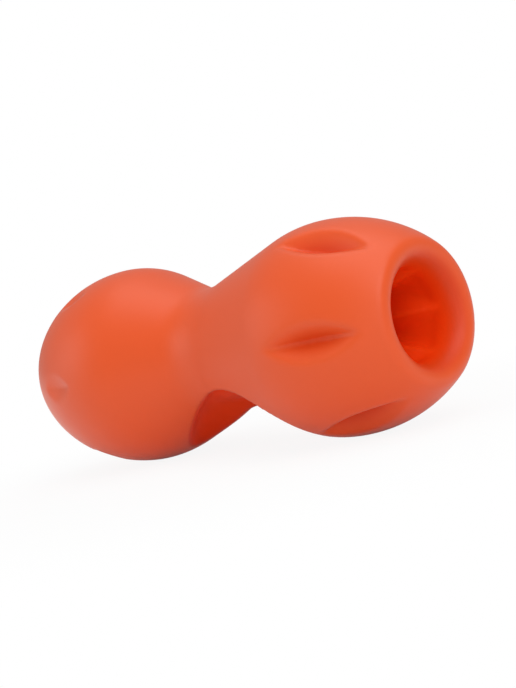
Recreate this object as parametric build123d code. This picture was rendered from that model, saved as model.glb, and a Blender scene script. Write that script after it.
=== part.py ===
from build123d import *
import os
from math import acos, asin, atan, atan2, cos, degrees, radians, sin, sqrt

# Rubber chew toy: an hourglass that lies on its two bulbs, with a treat pocket that opens towards +X.
# One moulding, made here as four sections that meet face to face across the toy's axis.
# The origin is on the floor under the middle of the toy's length, +Z is up, lengths are millimetres.

# Overall form
bulb_radius = 24.5            # widest ring of both bulbs, so the toy's axis lies level
waist_radius = 15.4           # narrowest ring between the bulbs
rear_bulb_reach = 28.0        # from the waist back to the rear bulb's widest ring
front_bulb_reach = 39.0       # from the waist forward to the front bulb's widest ring
end_arc_radius = 39.3         # side view arc from each widest ring towards its end
rear_cap_radius = 14.0        # ball-shaped closed end

# Flanks between a bulb and the waist: two tangent arcs with a straight stretch between them.
# A flank share of 0 is a straight cone and 1 is two arcs alone; a shoulder share is the bulb's part of them.
rear_flank_share = 0.39
rear_shoulder_share = 0.67
front_flank_share = 0.27
front_shoulder_share = 0.56

# Mouth: a rounded lip whose inner side funnels down to a straight throat, with the pocket behind it
lip_radius = 2.7              # rounding between the front arc and the foremost ring of the lip
throat_radius = 10.5
funnel_drop = 4.0             # from the foremost ring of the lip in to the throat
funnel_length = 6.0
throat_length = 3.0
pocket_radius = 11.5          # straight sides that end in a ball
pocket_depth = 34.0           # from the front of the lip to the far end of the pocket

# Leaf-shaped dents round both ends, each with a creased valley
dent_reach = 9.0              # from a widest ring to the middle of its dents, along the toy
front_dent_width = 8.4
front_dent_depth = 4.0
rear_dent_width = 7.0
rear_dent_depth = 1.2
dent_valley_radius = 32.0     # side view arc of the valley, which sets how long the leaf is

# Ribs that hold a treat in the pocket, with the same creased leaf shape the other way round
rib_reach = 18.6              # from the front of the lip to the middle of the ribs
rib_width = 9.4
rib_height = 3.9
rib_crest_radius = 15.5       # side view arc of the crest, which sets how long the rib is

# Round the toy, dents and ribs lie in line
leaf_count = 6
leaf_turn = 30.0              # degrees from straight down to the first dent or rib

# Egg-shaped scoop out of one side of the waist's underside, for a paw or a jaw to grip
scoop_half_length = 33.6
scoop_half_width = 15.6
scoop_half_height = 8.5
scoop_reach = 11.0            # from the waist forward to the middle of the egg
scoop_rise = 15.0             # from the toy's axis out to the middle of the egg
scoop_slide = 15.4            # from there down, square to that direction
scoop_turn = -59.5            # degrees round the toy from straight down to the way the egg faces
scoop_skew = 29.2             # degrees that its front end swings up
scoop_core_radius = 12.0      # rubber round the toy's axis that the scoop leaves whole

# Where the bending neck section starts and stops, either side of the waist
neck_rear_length = 8.0
neck_front_length = 10.0

cut_overrun = 5.0             # how far a cutter stands clear of the surface that it cuts


def lean_point(centre, radius, lean):
    """Point of a side view arc whose outward normal leans by that many degrees towards the mouth."""
    return (centre[0] + radius * sin(radians(lean)), centre[1] + radius * cos(radians(lean)))


def lean_arc(centre, radius, first, last):
    """Side view arc between two leans. A negative radius hollows the outline in instead of out."""
    half_way = (first + last) / 2
    return ThreePointArc(*(lean_point(centre, radius, lean) for lean in (first, half_way, last)))


def flank(reach, flank_share, shoulder_share):
    """Lean of a flank's straight stretch, and the radii of its bulb arc and its waist arc."""
    drop = bulb_radius - waist_radius
    lean = (1 + flank_share) * atan(drop / reach)
    both_radii = (reach * sin(lean) - drop * cos(lean)) / (1 - cos(lean))
    return degrees(lean), shoulder_share * both_radii, (1 - shoulder_share) * both_radii


# Side view arcs, in a frame whose first axis is the toy's axis with zero at the waist
rear_lean, rear_shoulder, waist_rear_arc = flank(rear_bulb_reach, rear_flank_share, rear_shoulder_share)
front_lean, front_shoulder, waist_front_arc = flank(front_bulb_reach, front_flank_share, front_shoulder_share)
end_arc_drop = bulb_radius - end_arc_radius
rear_arc_centre = (-rear_bulb_reach, end_arc_drop)
front_arc_centre = (front_bulb_reach, end_arc_drop)
rear_shoulder_centre = (-rear_bulb_reach, bulb_radius - rear_shoulder)
front_shoulder_centre = (front_bulb_reach, bulb_radius - front_shoulder)
waist_rear_centre = (0, waist_radius + waist_rear_arc)
waist_front_centre = (0, waist_radius + waist_front_arc)

# The closed end is a ball that touches the rear arc from inside
cap_setback = sqrt((end_arc_radius - rear_cap_radius) ** 2 - end_arc_drop ** 2)
cap_centre = (-rear_bulb_reach - cap_setback, 0)
cap_lean = -degrees(atan2(cap_setback, -end_arc_drop))

# The lip touches the front arc from inside
crest_radius = throat_radius + funnel_drop
lip_lean = degrees(acos((crest_radius - end_arc_drop) / (end_arc_radius - lip_radius)))
lip_centre = lean_point(front_arc_centre, end_arc_radius - lip_radius, lip_lean)
front_end = lip_centre[0] + lip_radius
funnel_back = front_end - funnel_length
rim_back = funnel_back - throat_length
rim_lean = degrees(asin((rim_back - front_arc_centre[0]) / end_arc_radius))

rear_end = cap_centre[0] - rear_cap_radius
middle = (rear_end + front_end) / 2


def turned(edges):
    """Solid of revolution of a closed side view outline about the toy's axis."""
    return revolve(make_face(edges), Axis.X)


def skin():
    """The toy from its closed end to the back of the rim, before anything is cut out of it."""
    arcs = [
        lean_arc(cap_centre, rear_cap_radius, -90, cap_lean),
        lean_arc(rear_arc_centre, end_arc_radius, cap_lean, 0),
        lean_arc(rear_shoulder_centre, rear_shoulder, 0, rear_lean),
        lean_arc(waist_rear_centre, -waist_rear_arc, rear_lean, 0),
        lean_arc(waist_front_centre, -waist_front_arc, 0, -front_lean),
        lean_arc(front_shoulder_centre, front_shoulder, -front_lean, 0),
        lean_arc(front_arc_centre, end_arc_radius, 0, rim_lean),
    ]
    straight_flanks = [Line(arcs[2] @ 1, arcs[3] @ 0), Line(arcs[4] @ 1, arcs[5] @ 0)]
    return turned(arcs + straight_flanks + [Polyline(arcs[-1] @ 1, (rim_back, 0), arcs[0] @ 0)])


def leaf_rings(centre, edge_radius, leaf_height, leaf_width):
    """V-edged rings round the toy's axis, each of which cuts one leaf of that height and width."""
    edge_height = leaf_height + cut_overrun
    edge_half_width = leaf_width / 2 * edge_height / leaf_height
    edge = Polyline(
        (edge_radius, 0, 0),
        (edge_radius - edge_height, 0, edge_half_width),
        (edge_radius - edge_height, 0, -edge_half_width),
        close=True,
    )
    ring = Pos(*centre) * revolve(make_face(edge), Axis.Z)
    step = 360 / leaf_count
    return [Rot(X=leaf_turn - 90 + k * step) * ring for k in range(leaf_count)]


def dents(bulb_centre, end_sign, depth, width):
    """Cutters for the leaf-shaped dents of one end."""
    lean = end_sign * degrees(asin(dent_reach / end_arc_radius))
    stand_off = end_arc_radius - depth + dent_valley_radius
    return leaf_rings(lean_point(bulb_centre, stand_off, lean), dent_valley_radius, depth, width)


def pocket():
    """The hollow behind the rim, less the ribs that stand into it."""
    far_end = front_end - pocket_depth
    ball = lean_arc((far_end + pocket_radius, 0), pocket_radius, -90, 0)
    side = Polyline(ball @ 1, (rim_back, pocket_radius), (rim_back, 0), ball @ 0)
    crest_centre = (front_end - rib_reach, pocket_radius - rib_height + rib_crest_radius)
    return turned([ball, side]) - leaf_rings(crest_centre, rib_crest_radius, rib_height, rib_width)


def side_scoop():
    """Egg-shaped cutter for one side of the waist's underside."""
    stretch = (scoop_half_length / scoop_half_height, 1, scoop_half_width / scoop_half_height)
    egg = scale(Sphere(scoop_half_height), by=stretch)
    place = Pos(scoop_reach, scoop_rise, scoop_slide)
    core = Rot(Y=90) * Cylinder(scoop_core_radius, 4 * scoop_half_length)
    return Rot(X=scoop_turn - 90) * place * Rot(Y=scoop_skew) * egg - core


def section(solid, start, stop):
    """The stretch of a solid between two planes across the toy's axis."""
    across = 4 * bulb_radius
    return solid & Pos((start + stop) / 2) * Box(stop - start, across, across)


def mouth_rim():
    """The lip with its funnel and throat."""
    outside = lean_arc(front_arc_centre, end_arc_radius, rim_lean, lip_lean)
    lip = lean_arc(lip_centre, lip_radius, lip_lean, 90)
    funnel = EllipticalCenterArc(
        (funnel_back, crest_radius), funnel_length, funnel_drop, start_angle=270, arc_size=90
    )
    back = Polyline(funnel @ 0, (rim_back, throat_radius), outside @ 0)
    return turned([outside, lip, funnel, back])


front_dents = dents(front_arc_centre, 1, front_dent_depth, front_dent_width)
rear_dents = dents(rear_arc_centre, -1, rear_dent_depth, rear_dent_width)
moulding = skin() - rear_dents - front_dents - side_scoop() - pocket()
nodes = {
    "mouth_rim": mouth_rim() - front_dents,
    "front_bulb": section(moulding, neck_front_length, rim_back),
    "waist_neck": section(moulding, -neck_rear_length, neck_front_length),
    "rear_bulb": section(moulding, rear_end - cut_overrun, -neck_rear_length),
}

os.makedirs("parts", exist_ok=True)
for name, solid in nodes.items():
    placed = Pos(-middle, 0, bulb_radius) * solid
    placed.label = name
    export_step(placed, f"parts/{name}.step")
    box = placed.bounding_box()
    print(name, "volume", round(placed.volume), "x", round(box.min.X, 2), "to", round(box.max.X, 2))
print("length", round(front_end - rear_end, 2), "waist at", round(-middle, 2), "throat from", round(rim_back - middle, 2))
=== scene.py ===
# %% [markdown]
# # A rubber chew toy, dressed in Blender
#
# The toy is one soft moulding: two thick bulbs with a bending waist between them, a round mouth with a
# ribbed treat pocket at one end, leaf-shaped dents round both bulbs and a grip scooped out of the waist's
# underside. The solid model is already packed in metres, with +X out of the mouth and +Z up. This lesson
# loads it as a fixed frame and builds the rubber that shows around it: first the camera, then the skin,
# then its finish and the light.

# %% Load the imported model
from math import acos, asin, atan, atan2, cos, pi, radians, sin, sqrt

import bpy
from mathutils import Matrix, Vector


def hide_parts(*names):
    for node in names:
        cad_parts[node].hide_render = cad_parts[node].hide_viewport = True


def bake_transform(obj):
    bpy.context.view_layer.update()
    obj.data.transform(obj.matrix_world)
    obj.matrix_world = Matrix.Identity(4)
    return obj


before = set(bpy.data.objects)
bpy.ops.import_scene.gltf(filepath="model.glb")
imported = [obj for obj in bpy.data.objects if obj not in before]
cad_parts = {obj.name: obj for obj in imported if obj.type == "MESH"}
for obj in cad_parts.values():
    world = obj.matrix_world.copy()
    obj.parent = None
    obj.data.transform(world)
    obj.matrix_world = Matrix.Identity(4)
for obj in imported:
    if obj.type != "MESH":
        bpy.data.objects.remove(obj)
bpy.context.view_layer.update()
scene = bpy.context.scene

# %% [markdown]
# ## The camera
#
# A camera can be placed by eye, but here the outline of the toy gives it: a body of revolution was fitted
# to the outline, and that says how far away the lens was, how long it was, and how the toy leaned in the
# picture. The camera stands beside the mouth end, a little above the axis, and is rolled, so that the
# level toy climbs to the right. Its matrix is written from three directions: right, up and back.

# %% Camera
IMAGE_TALL = 688
LENS_PIXELS = 1466.4
SENSOR_MM = 36.0
CAMERA_PLACE = Vector((0.25119, -0.2503, 0.0441))
CAMERA_RIGHT = Vector((0.7109, 0.6630, -0.2346))
CAMERA_UP = Vector((0.1315, 0.2024, 0.9704))


def make_camera():
    """The camera of the photograph, with its longer picture side on the sensor's width."""
    data = bpy.data.cameras.new("photo_camera")
    data.sensor_width = SENSOR_MM
    data.lens = SENSOR_MM * LENS_PIXELS / IMAGE_TALL
    right = CAMERA_RIGHT.normalized()
    back = right.cross(CAMERA_UP).normalized()
    up = back.cross(right)
    camera = bpy.data.objects.new("photo_camera", data)
    turn = Matrix((right, up, back)).transposed().to_4x4()
    camera.matrix_world = Matrix.Translation(CAMERA_PLACE) @ turn
    scene.collection.objects.link(camera)
    scene.camera = camera
    return camera


photo_camera = make_camera()
print("lens", round(photo_camera.data.lens, 2), "mm")

# %% [markdown]
# ## Writing node trees as sums
#
# A node tree with a hundred Math nodes is hard to read when each node and link has its own line. A small
# class can wrap an output socket and overload the operators, so that `a * b + 1` adds two Math nodes.
# The same class serves the shape of the rubber and its colour, because both kinds of tree have Math nodes.

# %% A wire that can be added, multiplied and compared
MATH_NODE = "ShaderNodeMath"


class Wire:
    """One output socket of a node tree. Sums of wires add Math nodes to that tree."""

    def __init__(self, tree, socket):
        self.tree = tree
        self.socket = socket

    def math(self, operation, *others):
        return add_node(self.tree, MATH_NODE, {"operation": operation}, [self, *others])

    def reflected(self, operation, first):
        return add_node(self.tree, MATH_NODE, {"operation": operation}, [first, self])

    def __add__(self, other):
        return self.math("ADD", other)

    __radd__ = __add__

    def __sub__(self, other):
        return self.math("SUBTRACT", other)

    def __rsub__(self, other):
        return self.reflected("SUBTRACT", other)

    def __mul__(self, other):
        return self.math("MULTIPLY", other)

    __rmul__ = __mul__

    def __truediv__(self, other):
        return self.math("DIVIDE", other)

    def __rtruediv__(self, other):
        return self.reflected("DIVIDE", other)

    def __neg__(self):
        return self * -1.0

    def __gt__(self, other):
        return self.math("GREATER_THAN", other)


def add_node(tree, kind, settings=None, values=(), output=0):
    """Adds one node, sets its settings, then its sockets, and gives one of its outputs as a wire."""
    node = tree.nodes.new(kind)
    for name, value in (settings or {}).items():
        if name == "stops":
            ramp = node.color_ramp
            while len(ramp.elements) < len(value):
                ramp.elements.new(0.5)
            for element, (place, colour) in zip(ramp.elements, value):
                element.position = place
                element.color = colour
        else:
            setattr(node, name, value)
    pairs = values.items() if isinstance(values, dict) else enumerate(values)
    for key, value in pairs:
        socket = node.inputs[key]
        if isinstance(value, Wire):
            tree.links.new(value.socket, socket)
        else:
            socket.default_value = value
    return Wire(tree, node.outputs[output])


# %% [markdown]
# A few sums come back again and again, so they get names: a length, the larger of two distances, a choice
# between two values, and a smooth change from one value to another.

# %% Sums with names


def length(a, b):
    """Length of a flat vector with these two sides."""
    return (a * a + b * b).math("SQRT")


def larger(a, b, rounding):
    """The larger of two distances, with the corner between them rounded over."""
    return a.math("SMOOTH_MAX", b, rounding)


def choose(mask, yes, no):
    """One value where the mask is 1, the other where it is 0."""
    return no + mask * (yes - no)


def eased(value, ends, results=(0.0, 1.0)):
    """Smooth change from the first result to the second, while a wire runs between two ends."""
    return add_node(value.tree, "ShaderNodeMapRange", {"interpolation_type": "SMOOTHSTEP"}, {
        "Value": value,
        "From Min": ends[0],
        "From Max": ends[1],
        "To Min": results[0],
        "To Max": results[1],
    })


# %% [markdown]
# ## The rubber skin
#
# The real toy is a single shot of rubber with no seams between its bulbs and its waist, so its skin is one
# mesh. A lathe mesh would do for the bulbs, but not for the dents, the ribs and the scoop, and boolean cuts
# would leave hard, uneven edges. So the skin is written as a rule: for any point, how far it is from the
# rubber. Geometry Nodes fill a volume with that distance and pull a mesh out where it is zero.
#
# The side view is a chain of tangent arcs, the same as in the solid model. Lengths in the rule are
# millimetres, and its first axis runs along the toy with zero at the waist.

# %% Side view of the toy
BULB_RADIUS = 24.5
WAIST_RADIUS = 15.4
REAR_REACH = 28.0
FRONT_REACH = 39.0
END_ARC = 39.3
CAP_RADIUS = 14.0
LIP_RADIUS = 2.7
LIP_RING = 14.5
THROAT_RADIUS = 10.5
FUNNEL_LENGTH = 6.0
REAR_FLANK_SHARES = (0.39, 0.67)
FRONT_FLANK_SHARES = (0.27, 0.56)


def flank_arcs(reach, flank_share, shoulder_share):
    """Lean of a flank's straight stretch, and the radii of its bulb arc and its waist arc."""
    drop = BULB_RADIUS - WAIST_RADIUS
    lean = (1 + flank_share) * atan(drop / reach)
    both = (reach * sin(lean) - drop * cos(lean)) / (1 - cos(lean))
    return lean, shoulder_share * both, (1 - shoulder_share) * both


REAR_LEAN, REAR_SHOULDER, REAR_WAIST = flank_arcs(REAR_REACH, *REAR_FLANK_SHARES)
FRONT_LEAN, FRONT_SHOULDER, FRONT_WAIST = flank_arcs(FRONT_REACH, *FRONT_FLANK_SHARES)
END_DROP = BULB_RADIUS - END_ARC
CAP_SETBACK = sqrt((END_ARC - CAP_RADIUS) ** 2 - END_DROP ** 2)
CAP_LEAN = -atan2(CAP_SETBACK, -END_DROP)
LIP_LEAN = acos((LIP_RING - END_DROP) / (END_ARC - LIP_RADIUS))
LIP_X = FRONT_REACH + (END_ARC - LIP_RADIUS) * sin(LIP_LEAN)
FRONT_END = LIP_X + LIP_RADIUS
FUNNEL_BACK = FRONT_END - FUNNEL_LENGTH
REAR_END = -REAR_REACH - CAP_SETBACK - CAP_RADIUS
MIDDLE = (FRONT_END + REAR_END) / 2
print("length", round(FRONT_END - REAR_END, 2), "mm, waist at", round(-MIDDLE, 2), "mm")

# %% [markdown]
# Each arc owns the sector between the two normals at its ends. Crossing such a normal, the distance to one
# arc equals the distance to the next, so the nine pieces can be chosen one after the other from the closed
# end to the mouth, and the result has no jumps.

# %% Distance from the outline of the side view


def mouth_side(x, r, centre, lean):
    """1 on the mouth's side of the normal through a point that leans by that much."""
    return (x - centre[0]) * cos(lean) - (r - centre[1]) * sin(lean) > 0.0


def outline_distance(x, r):
    """Distance out from the toy's skin, before any dent or scoop, as a wire."""

    def bulge(centre, radius):
        return length(x - centre[0], r - centre[1]) - radius

    def hollow(centre, radius):
        return radius - length(x - centre[0], r - centre[1])

    def straight(centre, radius, lean):
        return (x - centre[0]) * sin(lean) + (r - centre[1]) * cos(lean) - radius

    cap = (-REAR_REACH - CAP_SETBACK, 0.0)
    rear_end = (-REAR_REACH, END_DROP)
    rear_shoulder = (-REAR_REACH, BULB_RADIUS - REAR_SHOULDER)
    rear_waist = (0.0, WAIST_RADIUS + REAR_WAIST)
    front_waist = (0.0, WAIST_RADIUS + FRONT_WAIST)
    front_shoulder = (FRONT_REACH, BULB_RADIUS - FRONT_SHOULDER)
    front_end = (FRONT_REACH, END_DROP)
    chain = [
        (rear_end, CAP_LEAN, bulge(rear_end, END_ARC)),
        (rear_end, 0.0, bulge(rear_shoulder, REAR_SHOULDER)),
        (rear_shoulder, REAR_LEAN, straight(rear_shoulder, REAR_SHOULDER, REAR_LEAN)),
        (rear_waist, REAR_LEAN, hollow(rear_waist, REAR_WAIST)),
        (rear_waist, 0.0, hollow(front_waist, FRONT_WAIST)),
        (front_waist, -FRONT_LEAN, straight(front_shoulder, FRONT_SHOULDER, -FRONT_LEAN)),
        (front_shoulder, -FRONT_LEAN, bulge(front_shoulder, FRONT_SHOULDER)),
        (front_end, 0.0, bulge(front_end, END_ARC)),
    ]
    distance = bulge(cap, CAP_RADIUS)
    for centre, lean, following in chain:
        distance = choose(mouth_side(x, r, centre, lean), following, distance)
    return distance


# %% [markdown]
# The dents are leaf-shaped creases, six round each bulb: deep at the mouth end and faint at the closed end.
# Six ribs of the same shape stand into the pocket behind the mouth, in line with the dents. Folding the
# angle round the axis into one sixth of a turn makes a single crease serve each ring of six.

# %% Leaf dents and ribs
LEAF_COUNT = 6
LEAF_TURN = radians(30.0)
LEAF_ROUNDING = 0.35
CREASE_ROUNDING = 0.3
DENT_REACH = 9.0
FRONT_DENT_HALVES = (11.9, 4.2)
REAR_DENT_HALVES = (6.5, 3.5)
RIB_X = 45.0
RIB_HALVES = (13.0, 5.0)


def folded_turn(turn):
    """Angle round the toy from the middle of the nearest dent or rib."""
    step = 2 * pi / LEAF_COUNT
    return (turn + pi / 2 - LEAF_TURN).math("WRAP", step / 2, -step / 2)


def leaf(along, across, halves):
    """1 in the middle of a leaf-shaped crease, falling to 0 at its edge."""
    run = along / halves[0]
    slope = across / halves[1]
    rise = 1.0 - run * run - larger(slope, -slope, CREASE_ROUNDING)
    return larger(rise, 0.0, LEAF_ROUNDING)


def dent_depth(x, r, folded, front_depth, rear_depth):
    """How far the skin of a bulb is pushed in at a point."""
    at_front = x > 0.0
    lean = choose(at_front, x - FRONT_REACH, -REAR_REACH - x).math("ARCTAN2", r - END_DROP)
    along = (lean - asin(DENT_REACH / END_ARC)) * END_ARC
    front = front_depth * leaf(along, folded * r, FRONT_DENT_HALVES)
    rear = rear_depth * leaf(along, folded * r, REAR_DENT_HALVES)
    return choose(at_front, front, rear)


print("a dent and a rib every", 360 / LEAF_COUNT, "degrees")

# %% [markdown]
# The scoop is a flat, egg-shaped bite out of the underside of the waist, on the side that faces the camera.
# Its long axis is skewed round the toy, so it starts low on the rear bulb and climbs towards the front one.
# A core of rubber round the toy's axis stays whole. Taking the larger of two distances cuts the scoop out,
# and a smooth maximum rounds its edge.

# %% Scoop under the waist
SCOOP_X = 10.97
SCOOP_TURN = radians(-30.5)
SCOOP_HEIGHT = 13.95
SCOOP_SLIDE = -15.4
SCOOP_SKEW = radians(29.2)
SCOOP_HALF_SIZES = (33.4, 15.6, 8.5)
SCOOP_CORE = 12.0
LEAST_SLOPE = 0.001


def scoop_distance(x, y, z, r, rounding):
    """Distance out from the egg, less the core of rubber that it leaves round the axis."""
    outward = -y * cos(SCOOP_TURN) + z * sin(SCOOP_TURN) - SCOOP_HEIGHT
    sideways = y * sin(SCOOP_TURN) + z * cos(SCOOP_TURN) - SCOOP_SLIDE
    along = x - SCOOP_X
    long_way = along * cos(SCOOP_SKEW) + sideways * sin(SCOOP_SKEW)
    wide_way = sideways * cos(SCOOP_SKEW) - along * sin(SCOOP_SKEW)
    near = 0.0
    steep = 0.0
    for part, half in zip((long_way, wide_way, outward), SCOOP_HALF_SIZES):
        share = part / half
        near = near + share * share
        steep = steep + share * share / half ** 2
    size = near.math("SQRT")
    egg = (size - 1.0) * size / steep.math("SQRT").math("MAXIMUM", LEAST_SLOPE)
    return larger(egg, SCOOP_CORE - r, rounding)


print("scoop", [2 * half for half in SCOOP_HALF_SIZES], "mm across, core", SCOOP_CORE, "mm")

# %% [markdown]
# Now the rule is put together. The waist isn't quite a body of revolution: on the underside its narrowest
# ring lies a few millimetres further forward, so the outline is shifted along the toy there. The dents push
# the skin in, and the front closes in a rounded lip. Behind the lip a bead narrows the mouth to its throat,
# and the pocket with its ribs lies behind that in the thick rubber of the front bulb. The scoop is cut last.

# %% The whole rule
MM = 0.001
SHIFT_LONG = 16.0
SHIFT_TURN = radians(-100.0)
SHIFT_WIDE = radians(45.0)


def bead_distance(x, r):
    """Distance out from the rounded bead that narrows the mouth to its throat."""
    halves = (FUNNEL_LENGTH, LIP_RING - THROAT_RADIUS)
    parts = ((x - FUNNEL_BACK) / halves[0], (r - LIP_RING) / halves[1])
    size = length(*parts)
    steep = length(parts[0] / halves[0], parts[1] / halves[1])
    return (size - 1.0) * size / steep.math("MAXIMUM", LEAST_SLOPE)


def waist_shift(x, turn, most):
    """How far forward the outline is shifted: most at the waist's underside, fading all round it."""
    along = x / SHIFT_LONG
    around = (turn - SHIFT_TURN).math("WRAP", pi, -pi) / SHIFT_WIDE
    return most * (-(along * along + around * around)).math("EXPONENT")


def rubber_distance(tree, size):
    """Distances out from the rubber, its plain skin and the scoop, in millimetres, at each point."""
    place = add_node(tree, "GeometryNodeInputPosition")
    node = tree.nodes.new("ShaderNodeSeparateXYZ")
    tree.links.new(place.socket, node.inputs[0])
    metres = [Wire(tree, socket) for socket in node.outputs]
    x = metres[0] / MM + MIDDLE
    y = metres[1] / MM
    z = metres[2] / MM - BULB_RADIUS
    r = length(y, z)
    turn = z.math("ARCTAN2", -y)

    plain = outline_distance(x - waist_shift(x, turn, size["Waist Shift"]), r)
    folded = folded_turn(turn)
    skin = plain + dent_depth(x, r, folded, size["Front Dent Depth"], size["Rear Dent Depth"])
    lip = length(x - LIP_X, r - LIP_RING) - LIP_RADIUS
    past_lip = mouth_side(x, r, (FRONT_REACH, END_DROP), LIP_LEAN) * (x > LIP_X)
    skin = choose(past_lip, lip, skin)

    ribs = size["Rib Height"] * leaf(x - RIB_X, folded * r, RIB_HALVES)
    along = (size["Pocket End"] + size["Pocket Radius"] - x).math("MAXIMUM", 0.0)
    pocket = length(along, r) - size["Pocket Radius"] + ribs
    bead = bead_distance(x, r) - ribs
    rubber = skin.math("MAXIMUM", -pocket.math("MAXIMUM", -bead))
    in_mouth = (x > FUNNEL_BACK) * (LIP_RING - r > 0.0)
    rubber = choose(in_mouth, bead, rubber)
    scoop = scoop_distance(x, y, z, r, size["Scoop Rounding"])
    return larger(rubber, -scoop, size["Scoop Rounding"]), plain, scoop


# %% [markdown]
# A volume filled with the negative of the rule is dense inside the rubber, and Volume to Mesh pulls the skin
# out where it crosses zero. The tree also stores how hollow each point lies, for the material to read when
# it paints shade and bounce light into the hollows: 0 on the plain skin, a half at the floor of a dent, and
# 1 deep in the pocket and in the scoop.

# %% Geometry nodes for the skin
MARGIN = 3.0
DENT_RANGE = (0.8, 4.0)
DENT_SHARE = 0.5
POCKET_RANGE = (4.5, 8.0)
SCOOP_EDGE = (-1.0, -0.1)
SKIN_INPUTS = {
    "Pocket Radius": 10.7,
    "Pocket End": 29.6,
    "Rib Height": 3.9,
    "Front Dent Depth": 4.0,
    "Rear Dent Depth": 1.2,
    "Scoop Rounding": 1.6,
    "Waist Shift": 5.0,
    "Voxel": 0.58,
}


def new_tree(name, inputs):
    """Geometry node tree with named number inputs, and their wires by name."""
    tree = bpy.data.node_groups.new(name, "GeometryNodeTree")
    tree.interface.new_socket("Geometry", in_out="OUTPUT", socket_type="NodeSocketGeometry")
    for label, value in inputs.items():
        socket = tree.interface.new_socket(label, in_out="INPUT", socket_type="NodeSocketFloat")
        socket.default_value = value
    group = tree.nodes.new("NodeGroupInput")
    wires = {label: Wire(tree, group.outputs[label]) for label in inputs}
    return tree, wires


# The material reads this as the mask for painted shade in the dents and painted bounce light in the pocket
# and the scoop.
def hollowness(plain, scoop):
    """0 on the plain skin, rising with the depth below it, and 1 in the scoop."""
    dents = eased(-plain, DENT_RANGE, (0.0, DENT_SHARE))
    pocket = eased(-plain, POCKET_RANGE, (0.0, 1.0 - DENT_SHARE))
    return (dents + pocket).math("MAXIMUM", eased(-scoop, SCOOP_EDGE))


def skin_tree(material):
    """Tree that fills a volume with the distance and pulls the rubber's mesh out of it."""
    tree, size = new_tree("rubber_skin", SKIN_INPUTS)
    distance, plain, scoop = rubber_distance(tree, size)
    half_long = MIDDLE - REAR_END + MARGIN
    half_wide = BULB_RADIUS + MARGIN
    low = Vector((-half_long, -half_wide, -MARGIN)) * MM
    high = Vector((half_long, half_wide, 2 * BULB_RADIUS + MARGIN)) * MM
    counts = [side / size["Voxel"] for side in (2 * half_long, 2 * half_wide, 2 * half_wide)]
    volume = add_node(tree, "GeometryNodeVolumeCube", None, {
        "Density": -distance,
        "Background": -MARGIN,
        "Min": low,
        "Max": high,
        "Resolution X": counts[0],
        "Resolution Y": counts[1],
        "Resolution Z": counts[2],
    })
    mesh = add_node(tree, "GeometryNodeVolumeToMesh", {"resolution_mode": "GRID"},
                    {"Volume": volume, "Threshold": 0.0, "Adaptivity": 0.0})
    marked = add_node(tree, "GeometryNodeStoreNamedAttribute", None,
                      {"Geometry": mesh, "Name": "hollow", "Value": hollowness(plain, scoop)})
    smooth = add_node(tree, "GeometryNodeSetShadeSmooth", None, {"Geometry": marked})
    single = add_node(tree, "GeometryNodeRealizeInstances", None, {"Geometry": smooth})
    done = add_node(tree, "GeometryNodeSetMaterial", None, {"Geometry": single, "Material": material})
    output = tree.nodes.new("NodeGroupOutput")
    tree.links.new(done.socket, output.inputs["Geometry"])
    return tree


# %% [markdown]
# ## The rubber's finish
#
# Moulded rubber of this kind is matte, with a soft sheen over one warm orange-red colour. In its hollows the
# sheen fades, and shade is painted into the colour: darker at the floor of a dent, and a deep, clear red of
# painted bounce light in the pocket and the scoop. The skin carries its hollowness as an attribute, so one
# ramp and one sum serve the whole toy. Faint clouds and a fine grain in the roughness keep the surface from
# looking like plastic.

# %% Rubber material
PLAIN_COLOUR = (0.865, 0.094, 0.009, 1.0)
# Painted shade at the floor of a dent.
PAINTED_DENT_SHADE = (0.770, 0.058, 0.003, 1.0)
# Painted deep red of light bounced between rubber faces, in the pocket and the scoop.
PAINTED_BOUNCE_RED = (0.960, 0.064, 0.003, 1.0)
CLOUDS = {"Scale": 45.0, "Detail": 3.0, "Roughness": 0.55}
GRAIN = {"Scale": 2600.0, "Detail": 2.0, "Roughness": 0.6}
GRAIN_BUMP = {"Strength": 0.12, "Distance": 0.0002}
SMOOTHEST = 0.40
CLOUD_ROUGHNESS = 0.10
GRAIN_ROUGHNESS = 0.06
SHEEN = 0.85
SHEEN_LOSS = 0.75
SHEEN_ROUGHNESS = 0.45
SHINE = 0.10


def rubber_material():
    """Orange-red rubber with a soft sheen that fades in hollows, painted shade and bounce light in its
    hollows, and a fine moulded grain.
    """
    material = bpy.data.materials.new("orange_rubber")
    material.use_nodes = True
    tree = material.node_tree
    shader = tree.nodes["Principled BSDF"]
    place = add_node(tree, "ShaderNodeTexCoord", None, (), "Object")
    clouds = add_node(tree, "ShaderNodeTexNoise", None, {"Vector": place, **CLOUDS})
    grain = add_node(tree, "ShaderNodeTexNoise", None, {"Vector": place, **GRAIN})
    hollow = add_node(tree, "ShaderNodeAttribute", {"attribute_name": "hollow"}, (), "Fac")
    # The ramp paints shade at the floor of a dent and a deep red of bounced light into the pocket and the
    # scoop.
    stops = [(0.0, PLAIN_COLOUR), (DENT_SHARE, PAINTED_DENT_SHADE), (1.0, PAINTED_BOUNCE_RED)]
    surface = {
        "Base Color": add_node(tree, "ShaderNodeValToRGB", {"stops": stops}, [hollow]),
        "Roughness": clouds * CLOUD_ROUGHNESS + grain * GRAIN_ROUGHNESS + SMOOTHEST,
        "Normal": add_node(tree, "ShaderNodeBump", None, {"Height": grain, **GRAIN_BUMP}),
        "Coat Weight": SHEEN - hollow * SHEEN_LOSS,
    }
    for name, wire in surface.items():
        tree.links.new(wire.socket, shader.inputs[name])
    shader.inputs["Coat Roughness"].default_value = SHEEN_ROUGHNESS
    shader.inputs["Specular IOR Level"].default_value = SHINE
    return material


orange_rubber = rubber_material()
print("material", orange_rubber.name, "with", len(orange_rubber.node_tree.nodes), "nodes")

# %% [markdown]
# A modifier on an empty object runs the tree. The result is kept as a plain mesh object at the origin, and
# the empty object goes.

# %% Skin as a plain mesh


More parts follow.
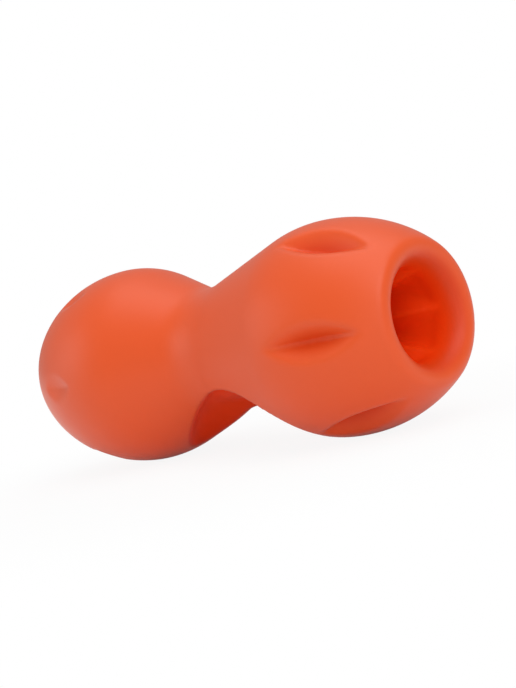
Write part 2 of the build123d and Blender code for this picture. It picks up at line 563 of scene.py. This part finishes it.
def made_by(tree, name):
    """Runs a tree on an empty object and keeps the result as a plain mesh object of that name."""
    host = bpy.data.objects.new(name + "_host", bpy.data.meshes.new(name + "_host"))
    scene.collection.objects.link(host)
    modifier = host.modifiers.new("rule", "NODES")
    modifier.node_group = tree
    ready = host.evaluated_get(bpy.context.evaluated_depsgraph_get())
    mesh = bpy.data.meshes.new_from_object(ready)
    bpy.data.objects.remove(host)
    mesh.name = name
    piece = bpy.data.objects.new(name, mesh)
    scene.collection.objects.link(piece)
    return piece


rubber_skin = made_by(skin_tree(orange_rubber), "rubber_skin")
print("rubber_skin", len(rubber_skin.data.vertices), "points", len(rubber_skin.data.polygons), "faces")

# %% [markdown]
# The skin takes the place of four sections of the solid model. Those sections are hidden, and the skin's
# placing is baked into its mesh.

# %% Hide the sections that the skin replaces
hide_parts("mouth_rim", "front_bulb", "waist_neck", "rear_bulb")
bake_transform(rubber_skin)

# %% [markdown]
# ## Floor and light
#
# The picture has a plain white surround, so the floor is pale and shows nearly white to the camera, with a
# faint shadow kept near the toy. Reflections see less of that white close to the toy than further away.

# %% Floor
FLOOR_HALF = 3.0
FLOOR_COLOUR = (0.90, 0.90, 0.90, 1.0)
FLOOR_ROUGHNESS = 0.9
WHITE = (1.0, 1.0, 1.0, 1.0)
FADE_ENDS = (0.03, 0.13)
SEEN_NEAREST = 0.9
MIRRORED_NEAREST = 0.2
RAY_NAMES = ("Is Camera Ray", "Is Glossy Ray", "Is Transmission Ray")


def floor_material():
    """Pale floor that shows nearly white to the camera and keeps a faint shadow."""
    material = bpy.data.materials.new("pale_floor")
    material.use_nodes = True
    tree = material.node_tree
    shader = tree.nodes["Principled BSDF"]
    shader.inputs["Base Color"].default_value = FLOOR_COLOUR
    shader.inputs["Roughness"].default_value = FLOOR_ROUGHNESS
    glow = add_node(tree, "ShaderNodeEmission", None, {"Color": WHITE, "Strength": 1.0})
    path = tree.nodes.new("ShaderNodeLightPath")
    camera, glossy, passing = [Wire(tree, path.outputs[name]) for name in RAY_NAMES]
    mirrored = glossy.math("MAXIMUM", passing)
    place = add_node(tree, "ShaderNodeTexCoord", None, (), "Object")
    away = add_node(tree, "ShaderNodeVectorMath", {"operation": "LENGTH"}, [place], "Value")
    seen_fade = eased(away, FADE_ENDS, (SEEN_NEAREST, 1.0))
    mirrored_fade = eased(away, FADE_ENDS, (MIRRORED_NEAREST, 1.0))
    white = choose(camera, seen_fade, mirrored * mirrored_fade)
    lit = Wire(tree, shader.outputs[0])
    mix = add_node(tree, "ShaderNodeMixShader", None, [white, lit, glow])
    tree.links.new(mix.socket, tree.nodes["Material Output"].inputs["Surface"])
    return material


def make_floor():
    """Wide floor under the toy, which isn't part of it."""
    mesh = bpy.data.meshes.new("floor")
    signs = ((-1, -1), (1, -1), (1, 1), (-1, 1))
    corners = [(across * FLOOR_HALF, along * FLOOR_HALF, 0.0) for across, along in signs]
    mesh.from_pydata(corners, [], [(0, 1, 2, 3)])
    mesh.materials.append(floor_material())
    floor = bpy.data.objects.new("floor", mesh)
    scene.collection.objects.link(floor)
    return floor


floor = make_floor()
print("floor", 2 * FLOOR_HALF, "m wide")

# %% [markdown]
# Four soft lamps light the toy: a wide one overhead shades it from top to bottom, one on the mouth's side
# lights the mouth, a weaker one lifts the closed end, and a low one lifts the underside.

# %% Lamps and surround
TOY_MIDDLE = Vector((0.0, 0.0, 0.0245))
SKY_LIGHT = 0.4
LAMPS = (
    ("top_lamp", (0.08, 0.05, 0.90), 0.8, 2.9),
    ("front_lamp", (0.60, -0.25, 0.60), 0.5, 2.1),
    ("rear_lamp", (-0.60, -0.50, 0.30), 0.5, 0.9),
    ("fill_lamp", (0.55, -0.45, 0.08), 0.5, 0.7),
)


def make_lamp(name, place, width, watts):
    """Square soft lamp that faces the toy."""
    data = bpy.data.lights.new(name, "AREA")
    data.energy = watts
    data.size = width
    lamp = bpy.data.objects.new(name, data)
    lamp.location = place
    lamp.rotation_euler = (TOY_MIDDLE - Vector(place)).to_track_quat("-Z", "Y").to_euler()
    scene.collection.objects.link(lamp)
    return lamp


def make_surround():
    """White to the camera, soft grey as light."""
    world = bpy.data.worlds.new("surround")
    scene.world = world
    world.use_nodes = True
    tree = world.node_tree
    sky = tree.nodes["Background"]
    path = tree.nodes.new("ShaderNodeLightPath")
    camera = Wire(tree, path.outputs["Is Camera Ray"])
    sky.inputs["Color"].default_value = WHITE
    strength = choose(camera, 1.0, SKY_LIGHT)
    tree.links.new(strength.socket, sky.inputs["Strength"])
    return world


lamps = [make_lamp(*lamp) for lamp in LAMPS]
make_surround()
scene.view_settings.view_transform = "Standard"
print("lamps", [lamp.name for lamp in lamps])
